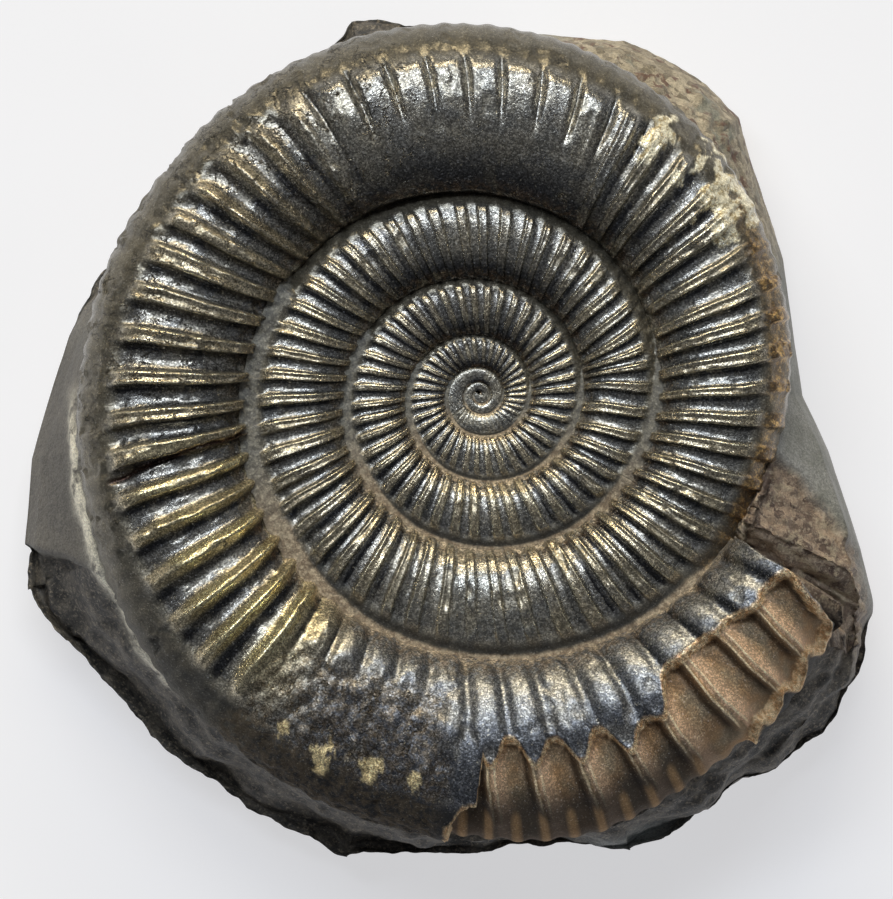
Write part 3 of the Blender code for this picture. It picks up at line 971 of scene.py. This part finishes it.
    bare = depth.ease(-0.05, 0.1)
    sparkle = finish.mix(grain ** 2.0, (0.50, 0.50, 0.50), (2.1, 2.1, 2.1))
    ground = finish.mix((1.0 - venter * 0.6) * (1.0 - bare * 0.35), ground, sparkle, "MULTIPLY")
    glint = grain.ease(0.94, 0.99) * (1.0 - venter * 0.7) * 0.35
    ground = finish.mix(glint, ground, finish.mix(tint, (0.75, 0.78, 0.85), (0.85, 0.74, 0.45)))

    finish.set(Base_Color=ground)
    metal = (1.0 - bare * 0.7) * (1.0 - dirt * 0.6) * (1.0 - venter * 0.35)
    finish.set(Metallic=metal * (1.0 - crystals * 0.65) * (1.0 - rim * 0.6) * 0.85)
    dull = chips * 0.10 + bare * 0.12 + dirt * 0.25 + venter * low_side * 0.55 + scuffed * 0.10 + scar * 0.12
    finish.set(Roughness=fine * 0.10 + 0.21 + dull)
    surface = finish.bump(fine, 0.030, 0.9)
    surface = finish.bump(grain, 0.016, 0.9, surface)
    surface = finish.bump(flake.ease(0.48, 0.52), 0.09, 1.0, surface)
    surface = finish.bump(speck, 0.04, 0.4, surface)
    finish.set(Normal=surface)
    return finish.material


shell_material = shell_finish()
for piece in (last_whorl, second_whorl, inner_whorls):
    piece.data.materials.append(shell_material)
print("nodes in the shell's finish:", len(shell_material.node_tree.nodes))

# %% [markdown]
# ## The rock's finish
#
# The block is mostly dark fine-grained shale. The face on its left is smooth and grey-brown, the upper
# right carries a pebbly beige crust, rusty brown stone lies beyond the shell's broken end, and a pale
# ragged rim clings to the shell on the left. The masks of the surface say where, and noise gives each kind
# of stone its mottling.

# %% Rock finish
def rock_finish():
    """Matt stone: each kind is laid over the ones before it by its mask."""
    finish = Finish("nodule_rock_finish")
    crust, rust, face, shale = (finish.mask(name) for name in ("crust", "rust", "face", "shale"))
    cloud, patch = finish.noise(5.0, 4.0, 0.6), finish.noise(1.6, 4.0, 0.65)
    fine = finish.noise(0.35, 3.0, 0.7)
    grain = finish.grains(0.13)[0]
    pebble, warm = finish.grains(0.8)

    stone = finish.mix(cloud.ease(0.35, 0.65), (0.22, 0.22, 0.19), (0.31, 0.305, 0.28))
    dark = finish.mix(patch.ease(0.35, 0.65), (0.030, 0.029, 0.028), (0.135, 0.120, 0.098))
    dark = finish.mix(fine.ease(0.52, 0.64) * 0.8, dark, (0.27, 0.23, 0.175))
    stone = finish.mix(shale, stone, dark)
    smooth = finish.mix(cloud.ease(0.3, 0.7), (0.115, 0.107, 0.094), (0.155, 0.142, 0.12))
    stone = finish.mix(face, stone, smooth)
    beige = finish.mix(pebble, (0.17, 0.14, 0.09), (0.48, 0.41, 0.29))
    beige = finish.mix(patch.ease(0.50, 0.60) * warm.ease(0.3, 0.6), beige, (0.15, 0.085, 0.055))
    beige = finish.mix(cloud.ease(0.55, 0.65), beige, (0.24, 0.235, 0.18))
    stone = finish.mix(crust, stone, beige)
    brown = finish.mix(pebble, (0.09, 0.058, 0.044), (0.38, 0.285, 0.20))
    brown = finish.mix(patch.ease(0.52, 0.62), brown, (0.36, 0.29, 0.20))
    brown = finish.mix(fine.ease(0.52, 0.64) * 0.6, brown, (0.46, 0.38, 0.28))
    stone = finish.mix(rust, stone, brown)
    pale = finish.mask("rim") * patch.ease(0.3, 0.5)
    stone = finish.mix(pale, stone, (0.95, 0.89, 0.72))
    stone = finish.mix(finish.mask("lip"), stone, (0.30, 0.32, 0.31))
    speckle = finish.mix(grain, (0.70, 0.70, 0.70), (1.30, 1.30, 1.30))
    finish.set(Base_Color=finish.mix(1.0, stone, speckle, "MULTIPLY"))
    finish.set(Roughness=fine * 0.25 + 0.50)
    surface = finish.bump(fine, 0.05, 0.8)
    surface = finish.bump(patch, 0.35, 0.7, surface)
    finish.set(Normal=surface)
    return finish.material


rock_material = rock_finish()
rock.data.materials.append(rock_material)
print("nodes in the rock's finish:", len(rock_material.node_tree.nodes))

# %% [markdown]
# ## Floor, light and camera
#
# The piece lies on a pale table. The table gives off most of its light itself, so it stays pale and even,
# while the piece still darkens it where it stands in the way of the lamps.

# %% Floor
FLOOR_HALF = 1.5
FLOOR_GLOW = 1.27


def floor_object():
    """A flat square under the piece, with a plain glowing finish."""
    corners = [(FLOOR_HALF * x, FLOOR_HALF * y, 0.0) for x, y in ((-1, -1), (1, -1), (1, 1), (-1, 1))]
    mesh = bpy.data.meshes.new("floor")
    mesh.from_pydata(corners, [], [(0, 1, 2, 3)])
    finish = Finish("floor_finish")
    shade = finish.mix(finish.noise(30.0, 2.0), (0.44, 0.44, 0.45), (0.46, 0.46, 0.47))
    finish.set(Base_Color=shade, Roughness=0.9, Emission_Color=shade, Emission_Strength=FLOOR_GLOW)
    mesh.materials.append(finish.material)
    return add_object("floor", mesh)


floor_object()
print("floor's side in m:", 2.0 * FLOOR_HALF)

# %% [markdown]
# Two long narrow lamps stand beyond the upper side of the piece. The cooler one is higher and the warmer
# one lower, so gentle slopes shine bluish and steep ones yellowish, as metal does under mixed light. A weak
# cool light from all around keeps the shadows open.

# %% Lamps and surroundings
LAMP_DISTANCE = 0.90
ROOM_COLOUR = (0.88, 0.92, 1.0, 1.0)
ROOM_STRENGTH = 0.11


def lamp(name, direction, size, power, colour):
    """A rectangular lamp that shines at the piece from a direction; size is its length and width in m."""
    light = bpy.data.lights.new(name, "AREA")
    light.shape = "RECTANGLE"
    light.size, light.size_y = size
    light.energy = power
    light.color = colour
    thing = add_object(name, light)
    away = np.array(direction) / np.linalg.norm(direction)
    thing.location = away * LAMP_DISTANCE
    thing.rotation_euler = (-thing.location).to_track_quat("-Z", "Y").to_euler()
    print(name, "stands at", np.round(np.array(thing.location), 2), "m")


lamp("cool_lamp", (-0.12, 0.47, 0.87), (0.72, 0.16), 3.7, (0.85, 0.92, 1.0))
lamp("warm_lamp", (-0.12, 0.86, 0.52), (0.72, 0.10), 4.1, (1.0, 0.86, 0.60))
world = bpy.data.worlds.new("room")
world.use_nodes = True
background = world.node_tree.nodes["Background"]
background.inputs["Color"].default_value = ROOM_COLOUR
background.inputs["Strength"].default_value = ROOM_STRENGTH
bpy.context.scene.world = world
bpy.context.scene.view_settings.view_transform = "Standard"

# %% [markdown]
# The camera looks straight down through a very long lens from far above, so the plan isn't distorted and
# the sides of the block hardly show. Its height follows from the width that the view has to take in at the
# shell's level.

# %% Camera
VIEW_WIDTH = 75.6
FOCAL_LENGTH = 1000.0
SENSOR = 36.0
VIEW_CENTRE = (0.04, -0.73)
VIEW_LEVEL = 18.0
camera_data = bpy.data.cameras.new("camera")
camera_data.lens = FOCAL_LENGTH
camera_data.sensor_width = SENSOR
camera_data.sensor_fit = "HORIZONTAL"
camera = add_object("camera", camera_data)
distance = VIEW_WIDTH * FOCAL_LENGTH / SENSOR
camera.location = (VIEW_CENTRE[0] * MM, VIEW_CENTRE[1] * MM, (VIEW_LEVEL + distance) * MM)
bpy.context.scene.camera = camera
print("camera height in mm:", round(VIEW_LEVEL + distance, 1))
